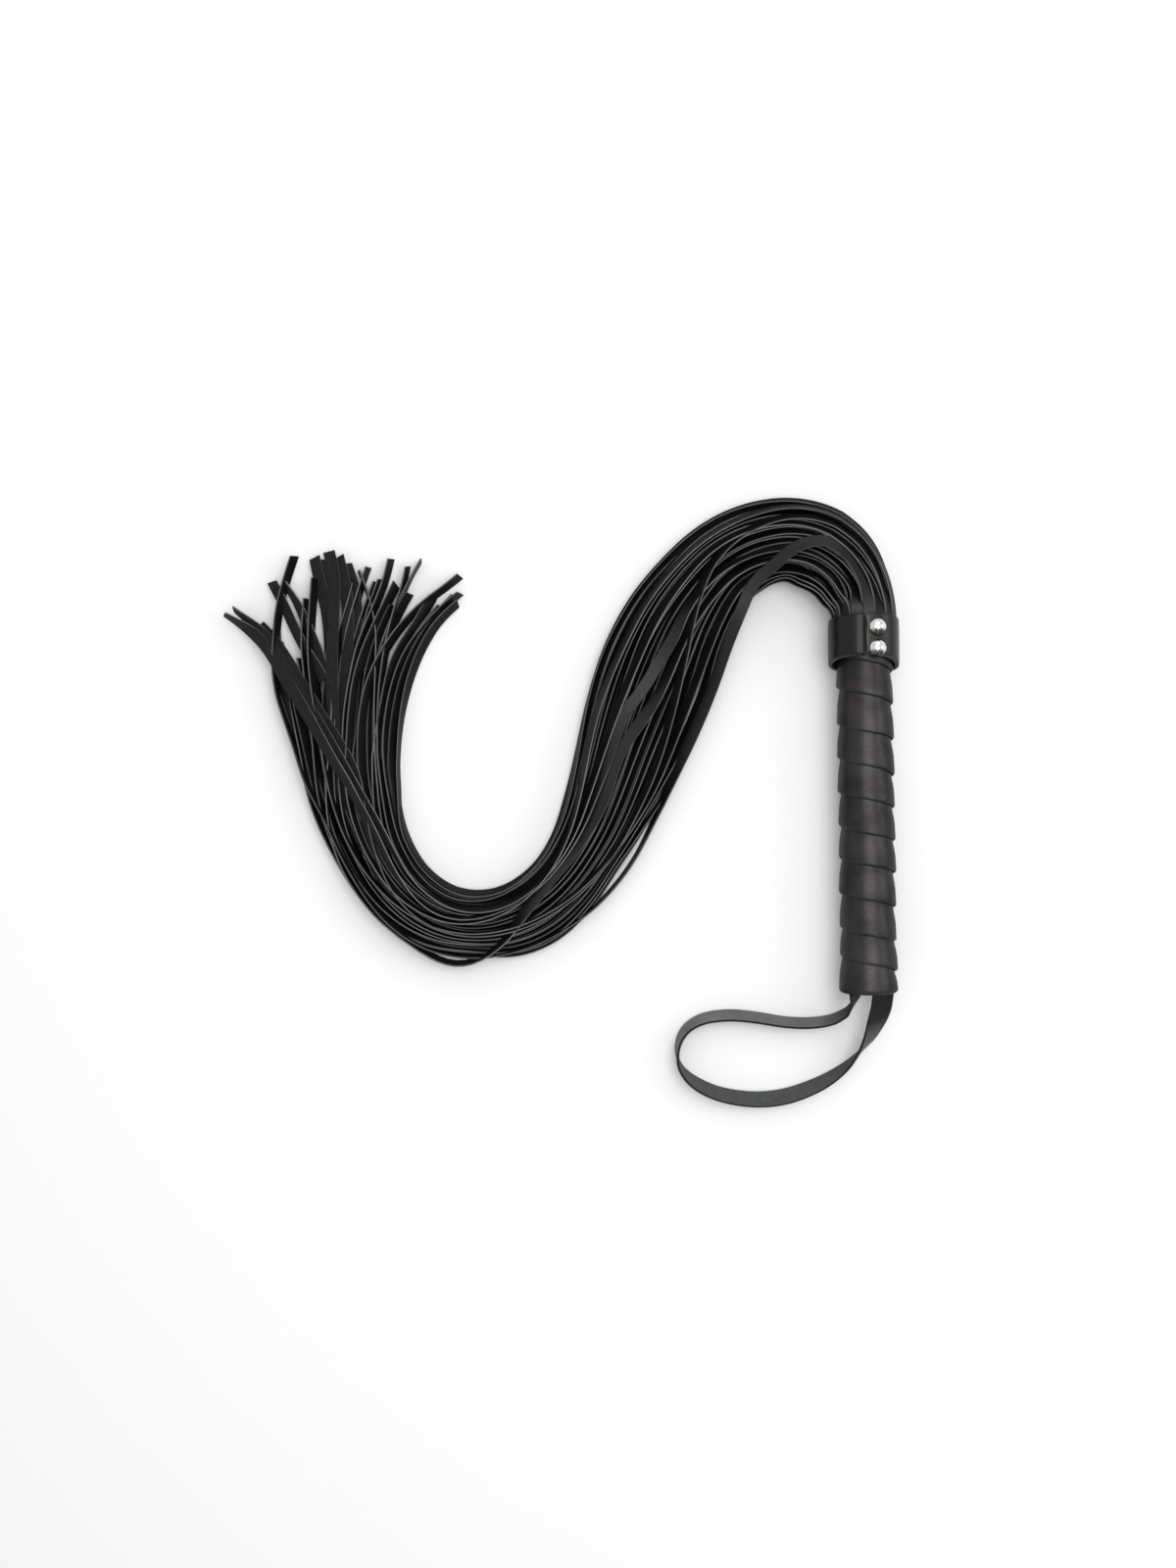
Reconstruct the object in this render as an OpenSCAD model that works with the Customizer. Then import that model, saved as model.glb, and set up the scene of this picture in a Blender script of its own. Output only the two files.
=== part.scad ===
// Short-handled whip with a spiral-wrapped grip, a riveted collar, a wrist
// loop and thirty-six narrow tails, lying in an S on a flat surface.
// Frame: the origin is on the grip's axis at its butt end, +Y runs along the
// grip towards the tails, +X is to the right, +Z is up from the surface.

/* [Grip] */
// Length of the grip from the butt to the root of the tails
grip_len = 183.8; // [183:0.1:190]
// Radius of the wooden core
core_r = 11.7; // [11.7:0.01:11.8]
// Radius of the turned neck that the tail bands are rolled on
neck_r = 11.0; // [10.9:0.05:11]
// Height of one turn of the wrap along the grip
wrap_pitch = 16; // [15:0.5:17]
// Overlap of one turn of the wrap on the next
wrap_overlap = 5.5; // [4.5:0.5:6]
// Thickness of the wrap's leather
wrap_t = 1.12; // [0.9:0.02:1.12]

/* [Collar] */
// Height of the collar strap
collar_h = 22.6; // [22:0.1:23]
// Thickness of the collar strap
collar_t = 1.8; // [1.4:0.1:1.9]
// Angle of the flap's cut edge, measured from +X towards +Z
flap_angle = 95; // [92:1:97]
// Angle of the collar's hidden inner end
inner_end_angle = -40; // [-50:1:-30]
// Diameter of a rivet's domed cap
rivet_d = 8; // [7:0.1:8.4]
// Distance between the two rivets
rivet_gap = 10; // [9:0.1:11]
// Angle of the rivets, measured from +X towards +Z
rivet_angle = 77; // [72:1:78]

/* [Tails] */
// Width of one tail, which stands on edge
tail_w = 6; // [5:0.1:6]
// Thickness of one tail
tail_t = 1.2; // [0.9:0.05:1.2]
// Tails in the lowest layer
lower_count = 14; // [14:1:14]
// Tails in the middle layer
middle_count = 15; // [15:1:15]
// Tails in the top layer
upper_count = 7; // [7:1:7]
// Typical length of the tails in the middle of the sheaf
tail_len = 523; // [480:1:530]
// Room between two layers of tails
layer_gap = 0.1; // [0.05:0.01:0.15]
// Half width of the sheaf near its tips
fan_half_w = 57; // [40:1:60]

/* [Wrist strap] */
// Width of the wrist strap
strap_w = 10.2; // [9:0.1:10.3]
// Thickness of the wrist strap
strap_t = 1.5; // [1.2:0.05:1.6]
// Depth of the slot that holds the strap's ends
slot_depth = 26; // [22:0.5:30]

/* [Hidden] */
tail_count = lower_count + middle_count + upper_count;

fit = 0.03;              // room between two pieces that are pressed or glued
butt_y = 1.0;            // the core's end face sits inside the wrap
wrap_top = 162.2;        // the wrap runs this far, under the collar's rim
neck_y = 162.4;          // the core steps down to the neck here
neck_end = grip_len - 5.5;                 // the core stops inside the collar
collar_y0 = grip_len - 3.1 - collar_h;     // lower rim, on the axis
collar_in = 14.3;                          // collar's inner radius
rest_z = -(collar_in + collar_t);          // the surface that the whip lies on

function tail_name(k) = str("tail_", k < 10 ? "0" : "", k);
function clamp(v, low, high) = max(low, min(high, v));
function smooth(v) = let (t = clamp(v, 0, 1)) t * t * (3 - 2 * t);
function mix(from, to, t) = from + (to - from) * t;
// A repeatable value between 0 and 1 for piece k
function chance(k, salt) = let (v = sin(k * 127.1 + salt * 311.7) * 437.5) v - floor(v);

// Faces of a solid through rings 0 to last, each a loop of `size` points
function loft_faces(last, size) = concat(
    [[for (j = [0:size - 1]) j]],
    [[for (j = [size - 1:-1:0]) last * size + j]],
    [for (i = [0:last - 1]) for (j = [0:size - 1]) for (half = [0, 1])
        let (a = i * size + j, b = i * size + (j + 1) % size)
        half == 0 ? [a, a + size, b] : [b, a + size, b + size]]);

// A cylinder on the grip's axis that runs from end_y back towards the butt
module y_cylinder(end_y, r, length) {
    translate([0, end_y, 0]) rotate([90, 0, 0])
        cylinder(r = r, h = length, $fn = 96);
}

// A tack pointing down Z with a flat head on top. With room > 0 it is the hole
// for the tack, larger all round and open above the head by `open`.
module tack(shank_r, head_r, bottom, top, head_h, open, room) {
    translate([0, 0, bottom - room])
        cylinder(r = shank_r + room, h = top - bottom + room, $fn = 32);
    translate([0, 0, top - head_h - room])
        cylinder(r = head_r + room, h = head_h + (room > 0 ? open : 0), $fn = 32);
}

// ---------------------------------------------------------------- the core
module handle_core() {
    color("BurlyWood")
    difference() {
        union() {
            y_cylinder(neck_y, core_r, neck_y - butt_y);
            y_cylinder(neck_end, neck_r, neck_end - neck_y + 1);
        }
        // the slot for the wrist strap's two ends
        translate([-20, butt_y - 5, -strap_t / 2 - fit])
            cube([40, slot_depth + 5, strap_t + 2 * fit]);
        for (side = [-1, 1]) strap_tack(side, fit);
        root_tack(180, fit);
        root_tack(-90, fit);
    }
}

// ---------------------------------------------------------------- the wrap
// One long strip wound up the core, each turn lapping over the one below it.
wrap_steps = 24;         // rings in one turn
wrap_phase = 121;        // angle that the winding is counted from
wrap_r = core_r / cos(180 / wrap_steps) + 0.01; // the wrap's flats clear the round core
bed_end = wrap_pitch - 0.5;   // above this height the strip lies on the core
least_step = 0.3;        // least height between two stations of a trimmed section

// Inner radius at height v up the strip: lifted over the turn below, then on the core
function wrap_in(v) = wrap_r
    + (wrap_t + fit) * (1 - clamp((v - wrap_overlap) / (bed_end - wrap_overlap), 0, 1));

// The strip's section as [y, radius] points; both ends of the wrap are trimmed level
function wrap_section(angle) =
    let (y0 = wrap_pitch * (angle - 360) / 360,
         low = max(0, -y0),
         high = min(wrap_pitch + wrap_overlap, wrap_top - y0),
         lap_v = min(max(wrap_overlap, low + least_step), high - 2 * least_step),
         bed_v = min(max(bed_end, lap_v + least_step), high - least_step),
         v = [low, lap_v, bed_v, high])
    [for (i = [0:3]) [y0 + v[i], wrap_in(v[i])],
     for (i = [3:-1:0]) [y0 + v[i], wrap_in(v[i]) + wrap_t]];

module grip_wrap() {
    end_angle = 360 * (wrap_top - wrap_overlap - 1.5) / wrap_pitch + 360;
    ring_count = floor(end_angle * wrap_steps / 360);
    points = [for (i = [1:ring_count])
        let (angle = i * 360 / wrap_steps, turned = angle + wrap_phase)
        for (q = wrap_section(angle)) [q[1] * cos(turned), q[0], q[1] * sin(turned)]];
    color([0.16, 0.15, 0.16]) polyhedron(points, loft_faces(ring_count - 1, 8));
}

// --------------------------------------------------------------- the collar
// A strap closed round the mouth: its end climbs over its own beginning and
// runs on as the flap that the rivets hold.
climb = 26;              // degrees over which the strap climbs
rim_lean = 0.13;         // lean of the rim nearer the tails, per mm of height
lower_rim_lean = rim_lean + 0.05;

function collar_lift(angle) = (collar_t + fit)
    * smooth((angle - (inner_end_angle + 360 - climb - 1)) / climb);
function collar_point(r, angle) = (r + collar_lift(angle)) * [cos(angle), sin(angle)];

module collar_outline() {
    end_angle = flap_angle + 360;
    step = 4;
    full_steps = floor((end_angle - inner_end_angle) / step);
    angles = concat([for (i = [0:full_steps]) inner_end_angle + i * step], [end_angle]);
    polygon(concat(
        [for (angle = angles) collar_point(collar_in, angle)],
        [for (i = [len(angles) - 1:-1:0]) collar_point(collar_in + collar_t, angles[i])]));
}

// A block that trims a rim at y; `back` is how far it starts behind the rim
module rim_cut(y, lean, back) {
    translate([0, y, 0]) rotate([atan(-lean), 0, 0])
        translate([-30, -back, -40]) cube([60, 20, 80]);
}

module collar_strap() {
    color([0.2, 0.19, 0.2])
    difference() {
        translate([0, collar_y0 + collar_h + 4, 0]) rotate([90, 0, 0])
            linear_extrude(height = collar_h + 8) collar_outline();
        // both rims lean towards the tails as they rise
        rim_cut(collar_y0 + collar_h, rim_lean, back = 0);
        rim_cut(collar_y0, lower_rim_lean, back = 20);
        for (side = [-1, 1]) {
            rivet_post(side, fit);
            rivet_at(side) translate([0, 0, seat])
                cylinder(d = rivet_d + 2 * fit, h = 6, $fn = 64);
        }
    }
}

// --------------------------------------------------------------- the rivets
// Heights are measured outwards from the grip's axis.
seat = collar_in + 2 * collar_t - 0.42;   // flat seat under a cap
post_r = 1.4;
post_bottom = 13;
post_top = seat + 1;
post_head_r = 2.6;
post_head_bottom = 12.9;
post_head_h = 0.5;
cap_brim = 0.4;          // straight edge under the dome
cap_dome = 2.3;          // rise of the dome

// Places children at a rivet, with Z pointing out; side 1 is nearer the tails
module rivet_at(side) {
    translate([0, collar_y0 + collar_h / 2 + 1 + side * rivet_gap / 2, 0])
        rotate([0, 90 - rivet_angle, 0]) children();
}

// A post with a flat head on the inner side, larger all round by `room`
module rivet_post(side, room = 0) {
    color("Silver")
    rivet_at(side) {
        translate([0, 0, post_head_bottom - room])
            cylinder(r = post_head_r + room, h = post_head_h + 2 * room, $fn = 48);
        translate([0, 0, post_bottom])
            cylinder(r = post_r + room, h = post_top + room - post_bottom, $fn = 48);
    }
}

module rivet_cap(side) {
    r = rivet_d / 2;
    ball_r = (r * r + cap_dome * cap_dome) / (2 * cap_dome);
    base = seat + fit;
    color([0.9, 0.89, 0.87])
    rivet_at(side) difference() {
        union() {
            translate([0, 0, base]) cylinder(r = r, h = cap_brim, $fn = 64);
            intersection() {
                translate([0, 0, base + cap_brim + cap_dome - ball_r])
                    sphere(r = ball_r, $fn = 64);
                translate([0, 0, base + cap_brim / 2]) cylinder(r = r, h = 6, $fn = 64);
            }
        }
        // the blind hole for the post
        translate([0, 0, seat - 1]) cylinder(r = post_r + fit, h = 2.1 + 2 * fit, $fn = 48);
    }
}

// ---------------------------- the uncut bands that the tails are slit from
band_t = 1.05;
band_start = neck_y + 0.1;
band_end = grip_len - 0.3;

// Band 0 is the inner one, 2 the outer one
module root_band(index) {
    inner_r = neck_r + fit + index * (band_t + fit);
    color([0.1, 0.1, 0.1])
    difference() {
        y_cylinder(band_end, inner_r + band_t, band_end - band_start);
        y_cylinder(grip_len + 1, inner_r, 30);
        for (side = [-1, 1]) {
            rivet_post(side, fit);
            // room above the post's head, open to the outside
            rivet_at(side) translate([0, 0, post_head_bottom])
                cylinder(r = post_head_r + fit, h = 3, $fn = 48);
        }
        root_tack(180, fit);
        root_tack(-90, fit);
    }
}

// A tack through the bands into the neck; the angle is from +X towards +Z
module root_tack(angle, room = 0) {
    color("LightSlateGray")
    translate([0, neck_y + 6, 0]) rotate([0, 90 - angle, 0])
        tack(shank_r = 0.6, head_r = 2, bottom = 4, top = 14, head_h = 0.5,
             open = 2, room = room);
}

// ---------------------------------------------------------- the wrist strap
strap_x = strap_w / 2 + 0.3;   // the two ends lie side by side in the slot
hinge_y = -1.0;                // the loop's ends stop here, just off the butt

module strap_end(side) {
    color([0.22, 0.22, 0.22])
    difference() {
        translate([side * strap_x - strap_w / 2, -0.1, -strap_t / 2])
            cube([strap_w, slot_depth + butt_y - 0.3, strap_t]);
        strap_tack(side, fit);
        // the outer edge is trimmed to the round of the core
        difference() {
            translate([-30, -10, -5]) cube([60, 60, 10]);
            y_cylinder(60, core_r - 0.2, 80);
        }
    }
}

module strap_tack(side, room = 0) {
    color("LightSlateGray")
    translate([side * strap_x, butt_y + 14, 0])
        tack(shank_r = 0.8, head_r = 1.8, bottom = -8, top = 9, head_h = 0.6,
             open = 4, room = room);
}

// Line of the loop: [x, y, z, tilt], where tilt 0 and 180 are flat and 90 is on edge
loop_line = [
    [strap_x, hinge_y, 0, 180],
    [5.2, -8, -1.6, 168],       [4.0, -15.5, -4.4, 142],    [1.3, -22.6, -7.4, 112],
    [-3.7, -30.0, -9.8, 88],    [-11.6, -37.7, -11, 66],    [-23.5, -44.8, -11.4, 56],
    [-39.3, -50.6, -11.5, 53],  [-55.2, -52.2, -11.5, 53],  [-71, -49.6, -11.4, 57],
    [-83, -44, -11.1, 68],      [-90.2, -37, -11, 82],      [-92.6, -29, -11, 92],
    [-91.4, -22, -11, 99],      [-87, -16.2, -11, 105],     [-79, -12.4, -11, 109],
    [-67, -11.1, -11, 111],     [-55.2, -12.2, -11, 111],   [-39.3, -14.8, -11, 110],
    [-27.4, -15.2, -10.6, 109], [-17.6, -13.6, -9.2, 106],  [-11.4, -10.2, -6.4, 98],
    [-8.2, -6.8, -3.4, 76],     [-6.4, -3.9, -1.2, 36],
    [-strap_x, hinge_y, 0, 0]];
loop_steps = 2;          // rings from one station to the next

// Catmull-Rom curve from b to c, with a before them and d after them
function catmull_rom(a, b, c, d, t) = 0.5 * ((2 * b) + (c - a) * t
    + (2 * a - 5 * b + 4 * c - d) * t * t + (3 * b - a - 3 * c + d) * t * t * t);

// The curve through the stations at u, where station i is at u = i
function line_at(line, u) =
    let (n = len(line), i = min(floor(u), n - 2))
    catmull_rom(i > 0 ? line[i - 1] : 2 * line[0] - line[1], line[i], line[i + 1],
                i + 2 < n ? line[i + 2] : 2 * line[n - 1] - line[n - 2], u - i);

// The four corners of the strap's section at u; both ends of the loop lie square to Y
function loop_ring(u) =
    let (last = len(loop_line) - 1,
         here = line_at(loop_line, u),
         step = line_at(loop_line, min(last, u + 0.05)) - line_at(loop_line, max(0, u - 0.05)),
         run = u == 0 ? [0, -1, 0] : u == last ? [0, 1, 0] : [step[0], step[1], step[2]],
         along = run / norm(run),
         level = [-along[1], along[0], 0] / norm([along[0], along[1]]),
         across = level * cos(here[3]) + cross(along, level) * sin(here[3]),
         face = cross(along, across))
    [for (corner = [[1, 1], [-1, 1], [-1, -1], [1, -1]])
        [here[0], here[1], here[2]]
        + across * strap_w / 2 * corner[0] + face * strap_t / 2 * corner[1]];

module wrist_loop() {
    last = (len(loop_line) - 1) * loop_steps;
    points = [for (i = [0:last]) for (p = loop_ring(i / loop_steps)) p];
    color([0.3, 0.3, 0.3]) polyhedron(points, loft_faces(last, 4));
}

// ------------------------------------------------------ the lie of the sheaf
lay_start = [0, grip_len];
lay_heading = 96.3;      // degrees from +X towards +Y
// Arcs of the centre line in order: [length, turn to the left in degrees]
lay = [[26, 34], [34, 53], [40, 48], [40, 16], [60, 3], [30, -3], [30, -16], [28, -21],
       [26, -28], [26, -32], [28, -26], [30, -18], [30, -10], [112, -12]];
// Half width of the sheaf where each arc begins, and at the end of the last
half_w = [16.4, 19.6, 21, 23.6, 29.6, 26.9, 23.6, 20.4, 18.6, 17.7, 17.3, 18, 20.2, 24.7,
          fan_half_w];

function arc_end(start, heading, length, turn) =
    abs(turn) < 0.01 ? start + length * [cos(heading), sin(heading)]
    : let (r = length / (turn * PI / 180), out = heading + turn)
      start + r * [sin(out) - sin(heading), cos(heading) - cos(out)];

// [distance so far, point, heading] at the start of every arc and the end of the last
lay_joints = [for (i = 0, dist = 0, p = lay_start, heading = lay_heading; i <= len(lay);
    dist = dist + (i < len(lay) ? lay[i][0] : 0),
    p = i < len(lay) ? arc_end(p, heading, lay[i][0], lay[i][1]) : p,
    heading = heading + (i < len(lay) ? lay[i][1] : 0),
    i = i + 1) [dist, p, heading]];

function lay_index(dist, i = 0) =
    i >= len(lay) - 1 || dist < lay_joints[i + 1][0] ? i : lay_index(dist, i + 1);

// [point, heading, half width] at a distance along the centre line
function lay_at(dist) =
    let (i = lay_index(dist), joint = lay_joints[i], part = (dist - joint[0]) / lay[i][0],
         turn = lay[i][1] * part)
    [arc_end(joint[1], joint[2], dist - joint[0], turn), joint[2] + turn,
     mix(half_w[i], half_w[i + 1], part)];

// ---------------------------------------------------------------- the tails
// Values for the lower, middle and upper layer
layer_count = [lower_count, middle_count, upper_count];
layer_first = [0, lower_count, lower_count + middle_count];  // tails before the layer
mouth_half = [10.2, 13.2, 10.2];      // half width of the layer at the mouth
layer_spread = [0.97, 0.97, 0.86];    // share of the sheaf's width that it fills
layer_drift = [-0.02, 0.03, 0.16];    // sideways wander, as a share of the half width
tail_steps = 40;

function layer_of(k) = k <= layer_first[1] ? 0 : k <= layer_first[2] ? 1 : 2;

// Lane of tail k across its layer, from -1 on the right to 1 on the left
function lane(k) = let (layer = layer_of(k))
    2 * (k - 1 - layer_first[layer]) / (layer_count[layer] - 1) - 1;

// The outer tails are shorter, and every length varies a little
function tail_end(k) = tail_len - 22 * pow(lane(k), 2) + 26 * (chance(k, 3) - 0.5);

// How far tail k lies to the left of the centre line
function tail_offset(k, dist) =
    let (layer = layer_of(k),
         w = lay_at(dist)[2] - tail_t,
         pitch = 2 * w / (layer_count[layer] - 1),
         drift = layer_drift[layer] * w * sin(dist * 0.9 + 70) * smooth((dist - 40) / 60),
         sway = 0.2 * min(pitch - tail_t, 4)
                * sin(dist * (1.1 + chance(k, 1)) + 360 * chance(k, 2))
                * smooth((dist - 20) / 50))
    mix(mouth_half[layer] * lane(k), lane(k) * w * layer_spread[layer] + drift + sway,
        smooth(dist / 46));

// Point i on the left (side 1) or right (side -1) edge; point 0 is square to the grip
function tail_edge(k, i, side) =
    let (dist = tail_end(k) * i / tail_steps,
         at = lay_at(dist),
         offset = tail_offset(k, dist) + side * tail_t / 2)
    i == 0 ? [-offset, grip_len + 0.15] : at[0] + offset * [-sin(at[1]), cos(at[1])];

module tail_plan(k) {
    polygon(concat(
        [for (i = [0:tail_steps]) tail_edge(k, i, 1)],
        [for (i = [tail_steps:-1:0]) tail_edge(k, i, -1)]));
}

// A layer in X and Z: level near the grip, sinking to the surface towards -X
module layer_profile(layer) {
    mouth_z = (layer - 1.5) * tail_w + (layer - 1) * layer_gap;
    laid_z = rest_z + layer * (tail_w + layer_gap);
    right_x = 40;
    sink_x = -15;
    laid_x = -95;
    left_x = -360;
    polygon([[right_x, mouth_z], [right_x, mouth_z + tail_w], [sink_x, mouth_z + tail_w],
             [laid_x, laid_z + tail_w], [left_x, laid_z + tail_w],
             [left_x, laid_z], [laid_x, laid_z], [sink_x, mouth_z]]);
}

module tail(k) {
    layer = layer_of(k);
    color([0.13, 0.13, 0.14] + [1, 1, 1] * 0.08 * layer)
    intersection() {
        translate([0, 0, -20]) linear_extrude(height = 40) tail_plan(k);
        translate([0, 300, 0]) rotate([90, 0, 0])
            linear_extrude(height = 320) layer_profile(layer);
    }
}

handle_core();
grip_wrap();
collar_strap();
rivet_cap(1);  // rivet_cap_upper
rivet_cap(-1);  // rivet_cap_lower
rivet_post(1);  // rivet_post_upper
rivet_post(-1);  // rivet_post_lower
root_band(0);  // root_band_inner
root_band(1);  // root_band_middle
root_band(2);  // root_band_outer
root_tack(180);  // root_tack_left
root_tack(-90);  // root_tack_under
strap_end(-1);  // strap_end_left
strap_end(1);  // strap_end_right
strap_tack(-1);  // strap_tack_left
strap_tack(1);  // strap_tack_right
wrist_loop();
for (k = [1:tail_count]) tail(k);
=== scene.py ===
# A short multi-tail whip lying on a table. Lengths are in millimetres unless a line says metres.
# The grip runs along +Y with its butt at Y = 0. The wrist strap loops out below the butt towards
# -X. The 36 tails leave the mouth at the grip's upper end and bend round to -X, then back down.
import bpy
import math
from collections import namedtuple
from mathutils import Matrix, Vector


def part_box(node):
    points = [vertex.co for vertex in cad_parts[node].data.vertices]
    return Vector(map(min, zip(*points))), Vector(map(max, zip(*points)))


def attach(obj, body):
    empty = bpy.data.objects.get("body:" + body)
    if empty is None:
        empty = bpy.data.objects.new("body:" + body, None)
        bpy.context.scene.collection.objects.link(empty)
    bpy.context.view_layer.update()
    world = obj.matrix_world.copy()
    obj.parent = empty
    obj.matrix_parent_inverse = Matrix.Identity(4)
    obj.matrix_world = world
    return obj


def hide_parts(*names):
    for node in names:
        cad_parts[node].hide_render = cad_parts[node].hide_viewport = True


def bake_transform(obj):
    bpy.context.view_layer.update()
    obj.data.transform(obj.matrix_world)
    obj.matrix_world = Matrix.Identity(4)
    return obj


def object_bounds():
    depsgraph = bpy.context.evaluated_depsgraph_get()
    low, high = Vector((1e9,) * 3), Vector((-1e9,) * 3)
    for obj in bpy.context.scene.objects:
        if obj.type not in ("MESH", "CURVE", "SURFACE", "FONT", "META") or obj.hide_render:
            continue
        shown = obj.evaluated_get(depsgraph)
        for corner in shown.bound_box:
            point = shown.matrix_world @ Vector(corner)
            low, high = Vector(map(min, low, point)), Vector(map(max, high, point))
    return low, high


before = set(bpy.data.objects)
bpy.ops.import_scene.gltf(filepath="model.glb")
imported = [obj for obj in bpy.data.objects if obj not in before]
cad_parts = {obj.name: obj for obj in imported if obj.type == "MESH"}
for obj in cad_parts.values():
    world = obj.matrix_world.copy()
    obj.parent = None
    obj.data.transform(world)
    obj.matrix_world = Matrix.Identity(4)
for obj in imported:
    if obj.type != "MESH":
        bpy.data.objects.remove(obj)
cad_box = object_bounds()
MM = 0.001
REST_Z = cad_box[0][2] * 1000.0    # the surface the whip lies on
MOUTH_Y = 183.8                    # where the tails leave the grip


# ------------------------------------------------------------------ helpers
def clamp(v, low=0.0, high=1.0):
    return low if v < low else high if v > high else v


def smooth(v):
    v = clamp(v)
    return v * v * (3 - 2 * v)


def mix(a, b, t):
    return a + (b - a) * t


def chance(number, salt):
    """A repeatable value from 0 to 1."""
    v = math.sin(number * 127.1 + salt * 311.7) * 43758.5453
    return v - math.floor(v)


def curve(knots, s):
    """A smooth line through (s, value) knots, level beyond its ends."""
    if s <= knots[0][0]:
        return knots[0][1]
    if s >= knots[-1][0]:
        return knots[-1][1]
    last = len(knots) - 1
    i = next(i for i in range(last) if s <= knots[i + 1][0])

    def secant(j):
        (s0, v0), (s1, v1) = knots[j:j + 2]
        return (v1 - v0) / (s1 - s0)

    def slope(j):
        if j in (0, last):
            return secant(min(j, last - 1))
        before = knots[j][0] - knots[j - 1][0]
        after = knots[j + 1][0] - knots[j][0]
        return (secant(j - 1) * after + secant(j) * before) / (before + after)

    s0, v0 = knots[i]
    s1, v1 = knots[i + 1]
    step = s1 - s0
    t = (s - s0) / step
    t2, t3 = t * t, t * t * t
    return ((2 * t3 - 3 * t2 + 1) * v0 + (t3 - 2 * t2 + t) * step * slope(i)
            + (-2 * t3 + 3 * t2) * v1 + (t3 - t2) * step * slope(i + 1))


def new_object(name, verts, faces, materials, face_materials=None, sharp=None):
    """A mesh object; sharp is the angle in degrees that stays an edge, None shades it flat."""
    mesh = bpy.data.meshes.new(name)
    mesh.from_pydata([(v[0] * MM, v[1] * MM, v[2] * MM) for v in verts], [], faces)
    for material in materials:
        mesh.materials.append(material)
    if face_materials:
        mesh.polygons.foreach_set("material_index", face_materials)
    mesh.polygons.foreach_set("use_smooth", [sharp is not None] * len(mesh.polygons))
    mesh.update()
    mesh.validate()
    if sharp is not None:
        mesh.set_sharp_from_angle(angle=math.radians(sharp))
    ob = bpy.data.objects.new(name, mesh)
    bpy.context.scene.collection.objects.link(ob)
    return ob


def sweep_faces(rings, size, kinds, start=None, end=None, closed=False):
    """Quads joining rings of size points, and their materials: kinds holds one index for each
    side of the section, start and end are the caps' indices (None leaves an end open)."""
    faces, materials = [], []
    for i in range(rings if closed else rings - 1):
        here, there = i * size, (i + 1) % rings * size
        for j in range(size):
            after = (j + 1) % size
            faces.append((here + j, here + after, there + after, there + j))
            materials.append(kinds[j])
    if start is not None:
        faces.append(tuple(range(size - 1, -1, -1)))
        materials.append(start)
    if end is not None:
        faces.append(tuple((rings - 1) * size + j for j in range(size)))
        materials.append(end)
    return faces, materials


def on_handle(ob, node):
    """Fixes a piece to the handle in place of a CAD node."""
    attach(ob, "handle")
    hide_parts(node)


# ------------------------------------------------------------- shader helpers
def set_inputs(tree, node, inputs):
    """Links the inputs given as sockets and sets the others."""
    for key, value in inputs.items():
        if isinstance(value, bpy.types.NodeSocket):
            tree.links.new(value, node.inputs[key])
        else:
            node.inputs[key].default_value = value


def add_node(tree, kind, inputs=None, **attributes):
    node = tree.nodes.new("ShaderNode" + kind)
    for key, value in attributes.items():
        setattr(node, key, value)
    set_inputs(tree, node, inputs or {})
    return node


def node_material(name):
    material = bpy.data.materials.new(name)
    material.use_nodes = True
    tree = material.node_tree
    tree.nodes.clear()
    output = add_node(tree, "OutputMaterial")
    surface = add_node(tree, "BsdfPrincipled")
    tree.links.new(surface.outputs[0], output.inputs[0])
    return material, tree, surface


def coordinates(tree, kind="Object"):
    return add_node(tree, "TexCoord").outputs[kind]


def noise(tree, scale, detail=4.0, rough=0.55, stretch=None, distortion=0.0):
    node = add_node(tree, "TexNoise", {
        "Scale": scale, "Detail": detail, "Roughness": rough, "Distortion": distortion})
    place = coordinates(tree)
    if stretch:
        place = add_node(tree, "Mapping", {"Vector": place, "Scale": stretch}).outputs[0]
    tree.links.new(place, node.inputs["Vector"])
    return node.outputs[0]


def calculate(tree, operation, *values):
    return add_node(tree, "Math", dict(enumerate(values)), operation=operation).outputs[0]


def ramp(tree, source, stops):
    """A colour ramp through (position, colour or grey level) stops."""
    node = add_node(tree, "ValToRGB", {0: source})
    elements = node.color_ramp.elements
    while len(elements) < len(stops):
        elements.new(0.5)
    for element, (position, value) in zip(elements, stops):
        element.position = position
        element.color = (*value, 1) if isinstance(value, tuple) else (value, value, value, 1)
    return node.outputs[0]


def bump(tree, surface, layers):
    """Stacks bumps on a surface; layers are (height socket, strength, distance in metres)."""
    below = None
    for height, strength, distance in layers:
        node = add_node(tree, "Bump", {
            "Height": height, "Strength": strength, "Distance": distance})
        if below:
            tree.links.new(below.outputs[0], node.inputs["Normal"])
        below = node
    tree.links.new(below.outputs[0], surface.inputs["Normal"])


# ---------------------------------------------------------------- materials
# How the polish fades with the slant of view: (slant, share of the full polish)
SOFT_SHINE = [(0.34, 1.0), (0.62, 0.42), (0.92, 0.08)]
DEEP_SHINE = [(0.06, 1.0), (0.34, 0.26), (0.85, 0.06)]
WRAP_SHINE = [(0.10, 1.0), (0.42, 0.46), (0.85, 0.07)]


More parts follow.
